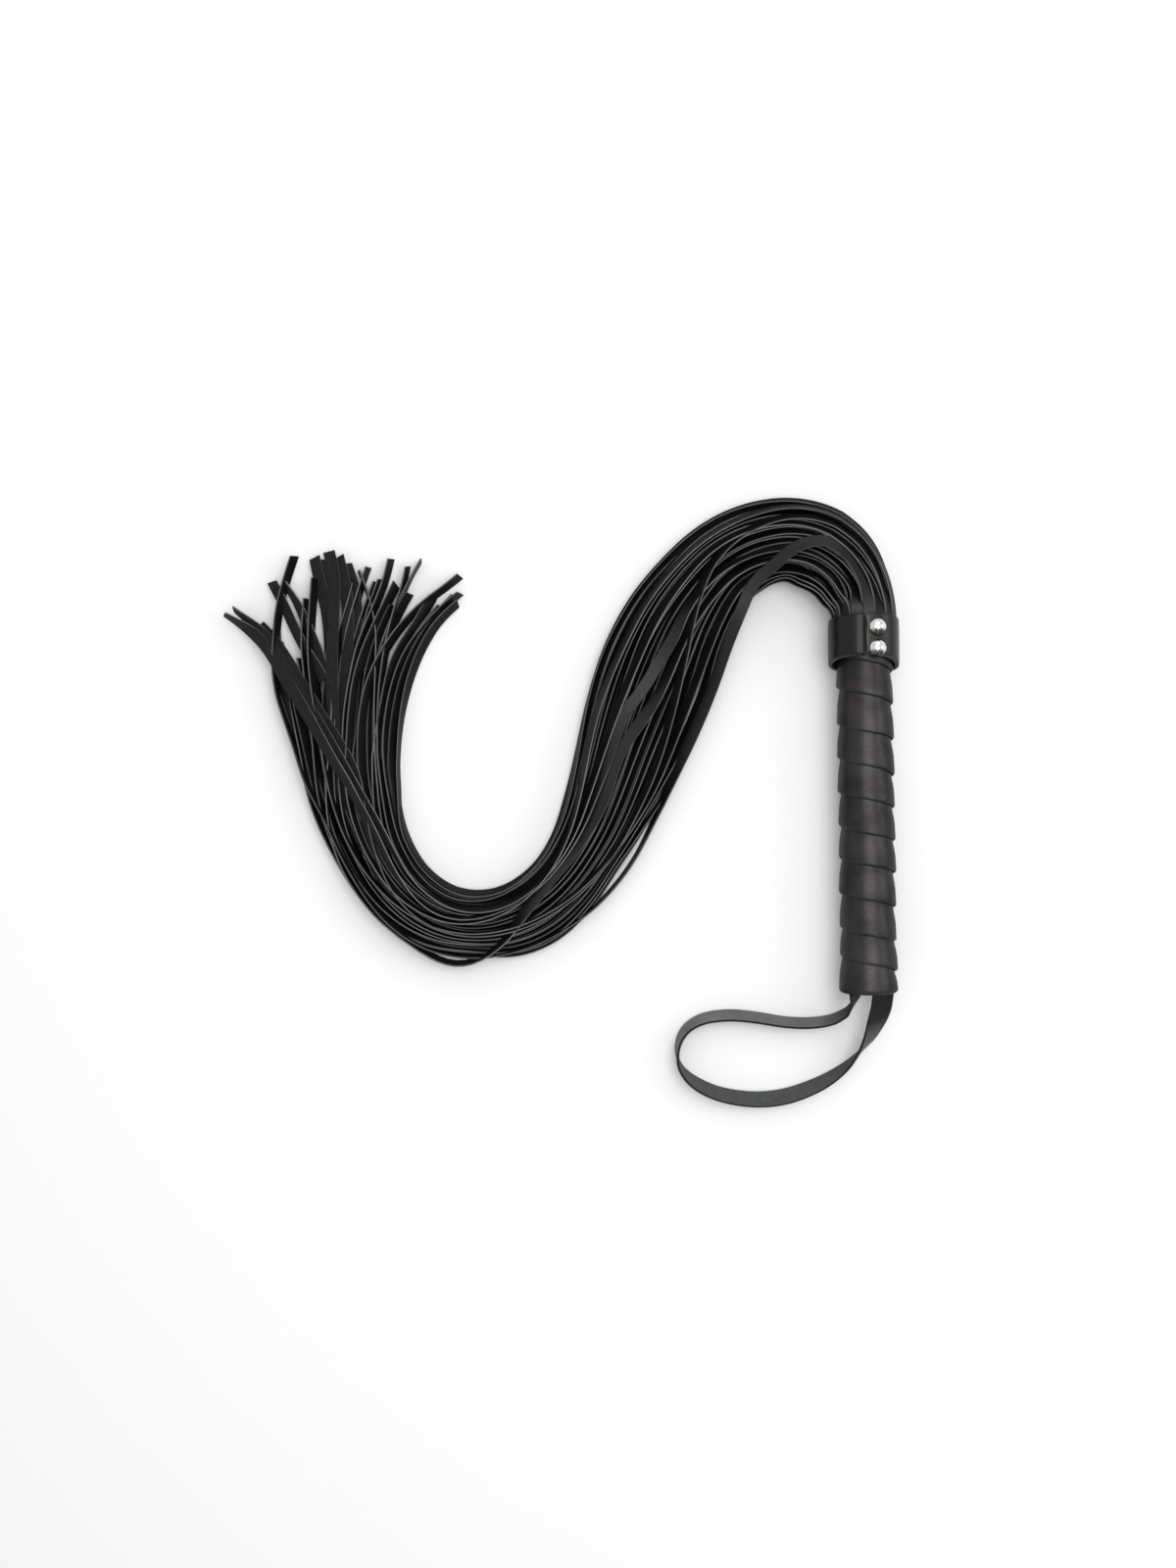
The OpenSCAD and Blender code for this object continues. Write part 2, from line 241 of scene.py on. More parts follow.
def leather(name, dark, light, rough, polish, grain, grain_depth=0.00006, swell=None,
            shine=SOFT_SHINE, uneven=0.0):
    """Smooth soft leather with a fine pebble grain. swell is the depth (metres) of soft creases,
    uneven is how much of the polish is worn off in patches."""
    material, tree, surface = node_material(name)
    patches = noise(tree, scale=45.0, detail=3.0)
    info = add_node(tree, "ObjectInfo")
    vary = 0.12    # how far one object's shade is from the next
    shade = calculate(tree, "MULTIPLY_ADD", info.outputs["Random"], vary, patches)
    colour = ramp(tree, shade, [(0.35, dark), (0.75, light)])
    pebbles = add_node(tree, "TexVoronoi", {"Scale": grain, "Vector": coordinates(tree)},
                       feature="SMOOTH_F1")
    fine = noise(tree, scale=grain * 0.45, detail=5.0, rough=0.6)
    roughness = ramp(tree, fine, [(0.3, rough - 0.07), (0.72, rough + 0.09)])
    layers = [(pebbles.outputs["Distance"], 0.55, grain_depth), (fine, 0.35, grain_depth * 1.6)]
    if swell:
        creases = noise(tree, scale=120.0, detail=6.0, rough=0.62, distortion=0.8)
        layers.append((creases, 0.25, swell * 0.25))
        swells = noise(tree, scale=52.0, detail=2.0, rough=0.5, distortion=0.4)
        layers.append((swells, 0.5, swell))
    bump(tree, surface, layers)
    # the polish shows face on and fades to black at a slant
    facing = add_node(tree, "LayerWeight", {"Blend": 0.5}).outputs["Facing"]
    level = ramp(tree, facing, [(slant, polish * share) for slant, share in shine])
    if uneven:
        worn = noise(tree, scale=60.0, detail=2.0, rough=0.5, stretch=(1.0, 1.5, 1.0))
        kept = ramp(tree, worn, [(0.36, 1.0 - uneven), (0.62, 1.0)])
        level = calculate(tree, "MULTIPLY", level, kept)
    set_inputs(tree, surface, {
        "Base Color": colour, "Roughness": roughness, "Specular IOR Level": level,
        "Specular Tint": (1.0, 0.945, 0.995, 1.0), "Sheen Weight": 0.0, "Sheen Roughness": 0.45})
    return material


def suede(name, dark, light):
    """Matt napped back: short fibres, no polish."""
    material, tree, surface = node_material(name)
    fibres = noise(tree, scale=2600.0, detail=6.0, rough=0.7)
    patches = noise(tree, scale=380.0, rough=0.6)
    total = calculate(tree, "ADD", fibres, patches)
    average = calculate(tree, "MULTIPLY", total, 0.5)
    set_inputs(tree, surface, {
        "Base Color": ramp(tree, average, [(0.36, dark), (0.64, light)]), "Roughness": 0.86,
        "Sheen Weight": 0.04, "Sheen Roughness": 0.6, "Specular IOR Level": 0.15})
    bump(tree, surface, [(fibres, 0.8, 0.00012), (patches, 0.3, 0.0002)])
    return material


def cut_edge(name, dark, light):
    """Raw cut edge: dry fibres and patchy dye, its shade differing from object to object."""
    material, tree, surface = node_material(name)
    fibres = noise(tree, scale=1500.0, detail=5.0, rough=0.7)
    patches = noise(tree, scale=60.0, detail=3.0)
    info = add_node(tree, "ObjectInfo")
    total = calculate(tree, "ADD", fibres, patches)
    own = calculate(tree, "MULTIPLY", info.outputs["Random"], 0.3)
    shade = calculate(tree, "MULTIPLY_ADD", total, 0.35, own)
    set_inputs(tree, surface, {
        "Base Color": ramp(tree, shade, [(0.3, dark), (0.7, light)]),
        "Roughness": 0.78, "Specular IOR Level": 0.35})
    bump(tree, surface, [(fibres, 0.7, 0.00012)])
    return material


def metal(name, colour, rough, painted_reflection_and_dents=False):
    """Brushed metal; the last option paints a dark reflection into the colour, darker towards -Y,
    and adds shallow dents.
    """
    material, tree, surface = node_material(name)
    brushed = noise(tree, scale=900.0, detail=6.0, rough=0.7, stretch=(1.0, 0.15, 1.0))
    patches = noise(tree, scale=260.0, detail=3.0)
    tint = ramp(tree, patches, [(0.3, tuple(c * 0.9 for c in colour)), (0.7, colour)])
    layers = [(brushed, 0.12, 0.00003)]
    if painted_reflection_and_dents:
        # painted reflection: the dark leather mirrored in the lower part of the dome, darker
        # towards -Y and broken up by noise
        axes = add_node(tree, "SeparateXYZ", {0: coordinates(tree, "Generated")})
        reflection_noise = noise(tree, scale=620.0, rough=0.6, stretch=(1.0, 0.35, 1.0))
        reflection_mask = calculate(tree, "MULTIPLY_ADD", reflection_noise, 0.7, axes.outputs["Y"])
        painted_dark_reflection = ramp(tree, reflection_mask, [(0.50, 0.05), (0.65, 0.22), (0.79, 1.0)])
        tint = add_node(tree, "VectorMath", {0: tint, 1: painted_dark_reflection}, operation="MULTIPLY").outputs[0]
        layers.append((noise(tree, scale=420.0, detail=2.0, rough=0.5), 0.6, 0.0003))
    set_inputs(tree, surface, {
        "Metallic": 1.0, "Base Color": tint,
        "Roughness": ramp(tree, brushed, [(0.35, rough * 0.75), (0.75, rough * 1.6)])})
    bump(tree, surface, layers)
    return material


def wood(name, dark, light):
    material, tree, surface = node_material(name)
    grain = noise(tree, scale=260.0, detail=6.0, rough=0.6, stretch=(1.0, 0.06, 1.0),
                  distortion=0.4)
    set_inputs(tree, surface, {
        "Base Color": ramp(tree, grain, [(0.3, dark), (0.7, light)]), "Roughness": 0.62})
    bump(tree, surface, [(grain, 0.4, 0.0002)])
    return material


def paint_shade_near(material, centre, near, far, low):
    """Painted shade: darkens the base colour to low within near of a point, easing off to none at
    far.
    """
    tree = material.node_tree
    surface = next(n for n in tree.nodes if n.type == "BSDF_PRINCIPLED")
    distance = add_node(tree, "VectorMath", {0: coordinates(tree), 1: [c * MM for c in centre]},
                        operation="DISTANCE")
    level = add_node(tree, "MapRange", {
        "From Min": near * MM, "From Max": far * MM, "To Min": low,
        "Value": distance.outputs["Value"]})
    colour = surface.inputs["Base Color"].links[0].from_socket
    darkened = add_node(tree, "VectorMath", {0: colour, "Scale": level.outputs[0]},
                        operation="SCALE")
    tree.links.new(darkened.outputs[0], surface.inputs["Base Color"])


TAIL_FACE = leather("tail_face", dark=(0.0035, 0.0034, 0.0036), light=(0.0085, 0.0083, 0.0094),
                    rough=0.38, polish=0.37, grain=2300.0, grain_depth=0.00004, shine=DEEP_SHINE)
TAIL_BACK = suede("tail_back", dark=(0.006, 0.0065, 0.006), light=(0.0135, 0.0145, 0.0138))
TAIL_EDGE = cut_edge("tail_edge", dark=(0.068, 0.066, 0.062), light=(0.205, 0.198, 0.186))
WRAP_FACE = leather("wrap_face", dark=(0.0052, 0.0045, 0.0051), light=(0.0105, 0.0091, 0.0104),
                    rough=0.38, polish=0.53, grain=1500.0, swell=0.0011, shine=WRAP_SHINE,
                    uneven=0.35)
WRAP_EDGE = cut_edge("wrap_edge", dark=0.007, light=0.02)
COLLAR_FACE = leather("collar_face", dark=(0.003, 0.0029, 0.0036), light=(0.006, 0.0058, 0.0072),
                      rough=0.29, polish=0.30, grain=1700.0, swell=0.0003)
COLLAR_EDGE = cut_edge("collar_edge", dark=(0.05, 0.046, 0.047), light=(0.15, 0.142, 0.14))
STRAP_FACE = leather("strap_face", dark=(0.086, 0.0845, 0.085), light=(0.166, 0.164, 0.164),
                     rough=0.46, polish=0.2, grain=2200.0)
STRAP_BACK = suede("strap_back", dark=(0.046, 0.0478, 0.0488), light=(0.081, 0.0832, 0.085))
STRAP_EDGE = cut_edge("strap_edge", dark=0.005, light=0.014)
# painted shade: the strap's smooth face darkens where the butt shades it
paint_shade_near(STRAP_FACE, centre=(0, -3, 0), near=12, far=27, low=0.06)
# painted shade: the strap's matt back darkens round the butt
paint_shade_near(STRAP_BACK, centre=(2, -12, 0), near=14, far=38, low=0.3)
# the nickel domes carry a painted dark reflection on their lower part
NICKEL = metal("nickel", colour=(0.86, 0.84, 0.8), rough=0.15, painted_reflection_and_dents=True)
STEEL = metal("tack_steel", colour=(0.52, 0.52, 0.53), rough=0.35)
WOOD = wood("core_wood", dark=(0.018, 0.014, 0.012), light=(0.045, 0.035, 0.029))


# ------------------------------------------------------- the sheaf of tails
# The sheaf's middle line as arcs: (length, turn to the left in degrees)
ARCS = [(26, 34), (34, 53), (40, 48), (40, 16), (60, 3), (30, -3), (30, -16), (28, -21),
        (26, -28), (26, -32), (28, -26), (30, -18), (30, -10), (112, -12)]
MOUTH_HEADING = 96.3    # degrees from +X towards +Y

# Below, s is the distance along the middle line from the mouth.
# (s, half the sheaf's width)
HALF_WIDTH = [
    (0, 15.2), (17, 18.6), (31, 20.2), (60, 20.8), (95, 22.2), (127, 26.5), (150, 28.8),
    (180, 27.6), (205, 24.9), (230, 21.9), (260, 19.3), (288, 18.6), (314, 17.6), (340, 17.3),
    (368, 18.0), (398, 20.2), (428, 24.4), (448, 29.2), (463, 33.2), (478, 38.2), (500, 50.0),
    (515, 58.5), (540, 60.0)]
# (s, height of the heap's middle above the surface)
HEAP = [(0, 30), (30, 27), (70, 20), (110, 17), (160, 14.5), (220, 15.0), (300, 16.5),
        (360, 16.0), (410, 13.5), (450, 10.5), (490, 7.0), (540, 4.2)]
# (s, how far each outline stands out beyond the half width)
LEFT_SIDE = [
    (0, 3.4), (8, 4.8), (16, 2.0), (23, 0.8), (30, 0.4), (44, 0.2), (56, -1.8), (67, -1.9),
    (79, -0.6), (100, -0.8), (125, 0), (205, 0), (228, -2.6), (246, -3.4), (266, -0.8),
    (284, 1.4), (300, 0.4), (318, -3.8), (334, -1.6), (348, 0)]
RIGHT_SIDE = [(0, 0.5), (10, 1.0), (40, 0.9), (80, 1.6), (120, 3.0), (160, 2.3), (200, 1.0),
              (250, 0.2), (285, -1.0), (320, 0)]

# Upper layer, strip by strip. around: angle round the mouth from +X towards +Z;
# left: (s, distance to the left); lift: (s, height above the heap);
# tilt: (s, degrees), 0 lies flat with the smooth face up, 90 stands on edge, 180 lies flat with
# the matt back up.
UPPER_TAILS = [
    dict(around=157,
         left=[(0, 12.5), (40, 15), (90, 13.5), (135, 17.6), (172, 18.2), (205, 16.8), (250, 9),
               (300, 3), (350, 4.5), (400, 9), (440, 11), (480, 13.5), (516.7, 12.1)],
         tilt=[(50, 58), (120, 50), (200, 60), (250, 76), (380, 78), (430, 62), (480, 66),
               (516, 60)],
         lift=[(20, 2.2), (60, 4.0), (360, 3.8), (430, 2.6), (516, 1.4)]),
    dict(around=135,
         left=[(0, 9), (40, 9.5), (80, 8), (130, 5), (161, 3.6), (169, 2.4), (182, -1.3),
               (196, -4.5), (220, -4), (250, -6.5), (275, -6), (294, 0.4), (305, 8.9),
               (314, 15.1), (322, 19), (330, 18.6), (339, 16.5), (360, 15.5), (385, 15.5),
               (412, 13), (440, 8.5), (462, 6.6), (478, 9), (492, 14.6), (505, 20.6),
               (514.5, 27.6)],
         tilt=[(50, 60), (130, 56), (154, 44), (176, 20), (205, 17), (235, 28), (270, 18),
               (290, 34), (308, 68), (330, 72), (400, 66), (450, 120), (490, 150), (515, 118)],
         lift=[(20, 2.2), (60, 4.0), (120, 4.0), (160, 6.0), (215, 6.0), (260, 4.6), (300, 5.0),
               (350, 3.4), (400, 1.6), (514, 0.4)]),
    dict(around=112,
         left=[(0, 4), (40, 5), (80, 3), (121, -0.9), (133, -0.2), (147, -2), (163, -4.7),
               (177, -8.6), (197, -9.5), (240, -9), (300, -7), (343, -2.8), (366, -4.6),
               (397, -4.3), (409, -1.4), (421, 2.3), (429.5, 6.4), (443, 12.5), (456.5, 19),
               (468, 25.6), (480.5, 32.4), (488, 38.2), (494, 46.6), (499, 56)],
         tilt=[(50, 60), (100, 56), (118, 45), (138, 19), (190, 17), (240, 66), (330, 76),
               (375, 124), (420, 142), (450, 160), (490, 164), (499, 122)],
         lift=[(20, 2.9), (60, 4.0), (95, 4.2), (128, 6.4), (190, 6.4), (230, 4.4), (360, 4.6),
               (400, 6.4), (465, 5.6), (499, 3.0)]),
    dict(around=90,
         left=[(0, -1), (26, -2.8), (37, -3.2), (50, 2.4), (65, 11.5), (83, 16.5), (102, 21.2),
               (121, 24.6), (139, 26.4), (157, 26.9), (174, 26.2), (200, 23.9), (220, 22.6),
               (240, 21.2), (260, 19.0), (280, 16.2), (300, 14.5), (340, 14.8), (380, 13.5),
               (404, 16), (423, 22), (438, 24.9), (451, 28), (462, 30.6), (475, 31.4),
               (486.5, 30.6), (502.5, 29), (514.5, 26.2), (526.9, 22.8)],
         tilt=[(30, 24), (50, 12), (66, 3), (98, 4), (124, 26), (150, 32), (195, 36), (222, 72),
               (250, 78), (300, 74), (380, 70), (470, 68), (527, 64)],
         lift=[(20, 3.4), (45, 6.4), (64, 8.6), (112, 8.6), (150, 5.4), (190, 4.2), (240, 2.6),
               (400, 2.6), (470, 2.2), (527, 2.0)]),
    dict(around=68,
         left=[(0, -5), (40, -7), (90, -9), (140, -12), (200, -13), (260, -10), (320, -8.5),
               (350, -9), (396, -7.5), (424, 1.2), (444, 10), (457, 16.6), (468, 22.8),
               (480, 29.3), (488, 34.8), (494, 41.4), (501.3, 51.6)],
         tilt=[(50, 60), (120, 60), (200, 58), (250, 74), (340, 78), (390, 130), (440, 158),
               (492, 164), (501, 122)],
         lift=[(20, 2.1), (60, 4.0), (360, 4.2), (410, 5.0), (460, 4.3), (501, 2.1)]),
    dict(around=45,
         left=[(0, -9), (40, -12), (90, -5), (140, 8), (190, 14), (240, 11), (300, 4), (350, 3),
               (396, -2), (424, -2.4), (444, 6.4), (457, 13.4), (468, 19.6), (480, 26.6),
               (488, 32.6), (494.2, 39)],
         tilt=[(50, 60), (130, 52), (200, 60), (250, 76), (340, 80), (400, 130), (440, 162),
               (494, 172)],
         lift=[(20, 2.6), (60, 4.6), (360, 4.2), (410, 3.7), (460, 2.9), (494, 1.0)]),
    dict(around=23,
         left=[(0, -13), (40, -16.5), (80, -15), (130, -20), (180, -22), (230, -15), (280, -8),
               (330, -1), (380, 1.6), (417, 1.2), (437.5, -2.2), (452, -4.9), (466.5, -8.2),
               (481.5, -13.2), (494.5, -18.8), (507, -24.4), (515.6, -28)],
         tilt=[(50, 70), (130, 66), (200, 62), (250, 76), (380, 76), (440, 58), (480, 52),
               (515, 46)],
         lift=[(20, 2.6), (60, 4.0), (360, 4.2), (430, 2.6), (515, 1.6)]),
]
# Middle layer from the left. left: the last stretch as (s, distance to the left); tilt and lift
# are those of the tip; turn: the stretch of s over which the strip tilts to it.
MIDDLE_TAILS = [
    dict(left=[(430, 22), (455, 27), (475, 30), (492, 31)], tilt=150, lift=0),
    dict(left=[(430, 15), (460, 15.5), (485, 17), (507.1, 16.1)], tilt=66, lift=0),
    dict(left=[(430, 10.5), (462, 5.6), (474, 10.7), (482.5, 16.2), (493.5, 22), (504.5, 27.4),
               (514.5, 33.4)], tilt=150, lift=0.8, turn=(400, 470)),
    dict(left=[(430, 8.5), (469, 4.2), (485.5, 4.4), (500, 5.9), (515, 9.8), (527, 13.2)],
         tilt=160, lift=0.2, turn=(390, 450)),
    dict(left=[(430, 7.5), (469, 3.4), (485, 3.2), (500, 4.4), (515, 6.6), (526.3, 8.8)],
         tilt=156, lift=0.8, turn=(380, 440)),
    dict(left=[(433, 6.2), (454.5, 4.3), (485.5, 2.8), (505, 2.2), (520, 3), (530.2, 6.1)],
         tilt=170, lift=2.6, turn=(365, 415)),
    dict(left=[(430, 1.5), (462.5, -2.6), (484.5, -4.4), (499, -4.6), (513.5, -2.9), (528, 1.4)],
         tilt=168, lift=1.2, turn=(390, 450)),
    dict(left=[(430, -1.5), (460, -5.8), (480, -8.2), (494.5, -8.8), (514, -6.8), (525, -2.6)],
         tilt=166, lift=0.4, turn=(400, 465)),
    dict(left=[(425, 0.6), (440.5, -0.3), (455, -3), (469.5, -6.7), (484.5, -10.7),
               (494.5, -14.4), (507, -19.3), (517.5, -22.6), (528.8, -24.6)], tilt=66, lift=1.8),
    dict(left=[(417.5, -6.2), (428.5, -6.3), (443, -8.5), (457.5, -11.9), (470.5, -16.9),
               (484, -24.5), (496.5, -33.3), (507.5, -43.3), (516, -53.2), (522, -59)],
         tilt=52, lift=1.8),
    dict(left=[(430, -13.6), (450, -19), (463, -23), (472, -25.8), (482, -30.2), (495, -38.4),
               (510, -46)], tilt=40, lift=0.6),
    dict(left=[(430, -14), (450, -15.5), (475, -17.6), (490, -18), (500.5, -16.5),
               (514, -12.5), (522, -9)], tilt=104, lift=0.4),
    dict(left=[(430, -15.5), (460, -19.5), (480, -23), (494.5, -26), (505.5, -28.8),
               (515, -31.4), (525.5, -33)], tilt=74, lift=0.8),
    dict(left=[(418.5, -17.4), (433, -18.5), (447.5, -21.4), (465.5, -26.9), (482.5, -34.7),
               (495, -43.5), (505.5, -52.1), (512.5, -59.4)], tilt=58, lift=0.8),
    dict(left=[(422, -23.4), (438, -26), (456, -30.6), (471.5, -36), (485.5, -42.4), (498, -50),
               (507, -58.4)], tilt=52, lift=0),
]
# Lower layer from the left: (s, distance to the left, tilt) of the tip
LOWER_TIPS = [
    (470, 31, 50), (487, 29, 78), (478.5, 19.4, 66), (500, 15, 76), (505, 1, 78), (516, -6, 102),
    (524, -13.5, 72), (516.6, -17.8, 66), (518.2, -20.1, 66), (505, -27, 42), (511.5, -34.3, 46),
    (529, -39.2, 87), (505.2, -50.4, 46), (511, -57, 44)]
TAIL_WIDTH, TAIL_THICKNESS = 6.0, 0.95
LOWER, MIDDLE, UPPER = range(3)
LAYER_START = [1, 1 + len(LOWER_TIPS), 1 + len(LOWER_TIPS) + len(MIDDLE_TAILS)]
TAIL_END = LAYER_START[UPPER] + len(UPPER_TAILS)


def arc(x, y, heading, length, turn):
    """The far end of an arc."""
    start, end = math.radians(heading), math.radians(heading + turn)
    if abs(turn) < 1e-4:
        return x + length * math.cos(start), y + length * math.sin(start)
    r = length / math.radians(turn)
    return x + r * (math.sin(end) - math.sin(start)), y + r * (math.cos(start) - math.cos(end))


def arc_joints():
    """(s, x, y, heading) at the start of each arc and at the end of the last."""
    joints = [(0.0, 0.0, MOUTH_Y, MOUTH_HEADING)]
    for length, turn in ARCS:
        s, x, y, heading = joints[-1]
        joints.append((s + length, *arc(x, y, heading, length, turn), heading + turn))
    return joints


JOINTS = arc_joints()


def middle_line(s):
    """x, y and heading of the sheaf's middle line."""
    i = 0
    while i < len(ARCS) - 1 and s >= JOINTS[i + 1][0]:
        i += 1
    start, x, y, heading = JOINTS[i]
    length, full_turn = ARCS[i]
    turn = full_turn * ((s - start) / length)
    x, y = arc(x, y, heading, s - start, turn)
    return x, y, heading + turn


# --------------------------------------------------------------- strip maker
def strip_object(name, centres, across, tangents, materials, width, thickness, bevel, rnd,
                 cap_start=True, cap_end=True, skew=0.0):
    """A flat strip along centres. across holds directions over its width, materials are its
    (face, back, edge), and skew slants the cut at its far end."""
    a, b = width / 2, thickness / 2
    corners = ((a, bevel - b), (a, b - bevel), (a - bevel, b), (bevel - a, b),
               (-a, b - bevel), (-a, bevel - b), (bevel - a, -b), (a - bevel, -b))
    count = len(centres)
    verts = []
    for i in range(count):
        along = tangents[i].normalized()
        side = (across[i] - along * across[i].dot(along)).normalized()
        face = along.cross(side)
        slant = skew * max(0, i - (count - 4)) / 3.0
        for p, q in corners:
            verts.append(centres[i] + side * p + face * q + along * (slant * p))
    faces, kinds = sweep_faces(count, 8, (2, 0, 0, 0, 2, 1, 1, 1),
                               2 if cap_start else None, 2 if cap_end else None)
    ob = new_object(name, verts, faces, materials, kinds, sharp=28.0)
    attribute = ob.data.attributes.new("rnd", "FLOAT", "POINT")
    attribute.data.foreach_set("value", [rnd] * len(ob.data.vertices))
    return ob


# ------------------------------------------------------------------- tails
# How one tail lies: its last s, functions of s for the distance to the left and the tilt,
# height(s, dome) above the surface, and its angle and radius in the mouth
Lie = namedtuple("Lie", "end left tilt height around radius")


def wander(number, s, salt):
    """A slow irregular wave along a tail."""
    waves = ((1.0, 54.0), (0.6, 29.0), (0.3, 15.0))    # (size, length)
    return sum(size * math.sin(s / length + 2 * 3.1415 * chance(number, salt + i))
               for i, (size, length) in enumerate(waves))


def heaped(s, dome, lift):
    return 3.2 + 0.40 * (curve(HEAP, s) - 3.5) * dome + lift


def lane(number, j, count, reach, sway):
    """The distance to the left, by s, of strip j of a layer; reach is the outer lane's share of
    the half width."""
    pitch = 2 * reach / (count - 1)
    base = reach - pitch * j
    if 0 < j < count - 1:
        base += 0.5 * pitch * (chance(number, 15) - 0.5)

    def left(s):
        own = 0.7 * wander(number, s, 5)
        shared = 0.8 * wander(100 + number // 3, s, 5)
        share = clamp(base + sway * (own + shared) * smooth((s - 10) / 60.0), -0.985, 0.985)
        distance = share * (curve(HALF_WIDTH, s) - 1.0)
        if share > 0:
            return distance + share * share * curve(LEFT_SIDE, s)
        return distance - share * share * curve(RIGHT_SIDE, s)
    return left


def standing_tilt(number, s, base, side_on):
    """Tilt along a strip's body, steeper in the narrow stretch of the sheaf."""
    narrow = smooth((s - 220) / 30.0) * (1 - smooth((s - 380) / 40.0))
    return (base + 12 * (chance(number, 8) - 0.5) + 12 * side_on
            + 16.0 * narrow * (1 - 0.6 * side_on) + 6.0 * wander(number, s, 21))


def rightmost(share):
    """Grows from 0 to 1 over the rightmost third of a layer."""
    return smooth((share - 0.66) / 0.34)


def lower_lie(number, j):
    count = len(LOWER_TIPS)
    end, tip_left, tip_tilt = LOWER_TIPS[j]
    body = lane(number, j, count, reach=0.93, sway=0.014)
    share = j / (count - 1.0)
    side_on = rightmost(share)
    # the outermost strips lie flatter
    base = 58 - 34 * side_on - 24 * smooth((0.26 - share) / 0.2)
    fan = 415              # s where the tip leaves its lane
    turn_at = 476 if 5 <= j <= 11 else 454

    def left(s):
        if s <= fan:
            return body(s)
        t = (s - fan) / (end - fan)
        start = body(fan)
        drift = (start - body(fan - 6)) / 6.0 * (end - fan)
        return start + drift * t * (1 - t) ** 2 + (tip_left - start) * (t ** 2.1)

    def tilt(s):
        flat = smooth((s - 80) / 40.0) * (1 - smooth((s - 208) / 34.0)) + smooth((s - 395) / 35.0)
        body_tilt = mix(standing_tilt(number, s, base, side_on), 45, flat)
        return mix(body_tilt, tip_tilt, smooth((s - turn_at) / (end - 6 - turn_at)))

    def height(s, dome):
        return 3.0 + 0.10 * curve(HEAP, s) * dome

    return Lie(end, left, tilt, height, 192 + 12.0 * j, 12.75 if j % 2 else 13.7)


def middle_lie(number, j):
    count = len(MIDDLE_TAILS)
    row = MIDDLE_TAILS[j]
    far, rise = row["left"], row["lift"]
    end = far[-1][0]
    body = lane(number, j, count, reach=0.95, sway=0.034)
    side_on = rightmost(j / (count - 1.0))
    turn_start, turn_end = row.get("turn", (420, end - 20))
    lift = [(0, 0.0), (415, 0.0), (455, rise), (end, rise * 0.6)]

    def left(s):
        return mix(body(s), curve(far, s), smooth((s - 380) / (far[0][0] + 12 - 380)))

    def tilt(s):
        return mix(standing_tilt(number, s, 64, side_on), row["tilt"],
                   smooth((s - turn_start) / (turn_end - turn_start)))

    def height(s, dome):
        return heaped(s, dome, curve(lift, s))

    return Lie(end, left, tilt, height, 188 - 14.0 * j, 11.75 if j % 2 else 12.75)


def upper_lie(number, j):
    row = UPPER_TAILS[j]

    def left(s):
        return curve(row["left"], s)

    def tilt(s):
        return curve(row["tilt"], s) + 3.0 * wander(number, s, 31)

    def height(s, dome):
        return heaped(s, dome, curve(row["lift"], s))

    return Lie(row["left"][-1][0], left, tilt, height, row["around"], 13.7)


def tail_stations(end):
    """Values of s from 5.5 mm inside the mouth to the tip, closest near the mouth."""
    stations = [-5.5 + 1.5 * i for i in range(8)]
    s = stations[-1]
    while s < end - 1.2:
        s += 2.0 if s < 60 else 3.2
        stations.append(min(s, end))
    if stations[-1] < end:
        stations.append(end)
    return stations


def relax(points, indices, passes):
    """Smooths a line at the given points."""
    for _ in range(passes):
        moved = list(points)
        for i in indices:
            moved[i] = points[i] * 0.5 + (points[i - 1] + points[i + 1]) * 0.25
        points = moved
    return points


def tail_path(number, layer):
    """A tail's stations, its centre line and the directions across it."""
    lie = (lower_lie, middle_lie, upper_lie)[layer](number, number - LAYER_START[layer])
    around = math.radians(lie.around)
    outward = Vector((math.cos(around), 0, math.sin(around)))
    mouth_tilt = (270 if layer == LOWER else 90) - lie.around
    if mouth_tilt < -40:
        mouth_tilt += 180
    mouth_left = -lie.radius * outward.x
    raised = 0.8 if layer == LOWER else 0.95
    stations = tail_stations(lie.end)
    centres, across = [], []
    for s in stations:
        if layer == UPPER:
            left = mix(mouth_left, lie.left(s), smooth(s / 12.0))
        else:
            spread = 1.2 if mouth_left > 0 else 1.02
            left = mix(mouth_left * spread, lie.left(s), smooth((s + 4) / 40.0))
        share = clamp(left / curve(HALF_WIDTH, s), -1, 1)
        dome = math.sqrt(max(0.0, 1 - share * share))
        tilt = lie.tilt(s)
        lean = math.radians(tilt)
        half_height = 3.0 * abs(math.sin(lean)) + 0.5 * abs(math.cos(lean))
        z = max(lie.height(s, dome), half_height + 0.15)
        # near the mouth the whole heap is still up by the grip's axis
        up = 1 - smooth((s - 18) / 75.0)
        x, y, heading = middle_line(max(s, 0.0))
        heading = math.radians(heading)
        leftward = Vector((-math.sin(heading), math.cos(heading), 0))
        in_sheaf = Vector((x, y, 0)) + leftward * left
        in_sheaf.z = REST_Z + z + up * (-REST_Z - 4.5) * raised
        widen = 1.15 if outward.x < 0 else 1.05
        in_mouth = Vector((lie.radius * outward.x * widen, MOUTH_Y + s, lie.radius * outward.z))
        freed = smooth((s + 4) / 18.0)
        tip_shift = Vector((-1.35, 1.4, 0)) * smooth((s - 425) / 60.0)
        centres.append(in_mouth.lerp(in_sheaf, freed) + tip_shift)
        angle = math.radians(mix(mouth_tilt, tilt, smooth((s + 5) / 22.0)))
        level = Vector((-1, 0, 0)).lerp(leftward, freed).normalized()
        across.append(level * math.cos(angle) + Vector((0, 0, 1)) * math.sin(angle))
    whole = [i for i in range(1, len(centres) - 1) if stations[i] > 2]
    centres = relax(centres, whole, passes=2)
    near_mouth = [i for i in range(1, 24) if stations[i] > 0]
    return stations, relax(centres, near_mouth, passes=9), across


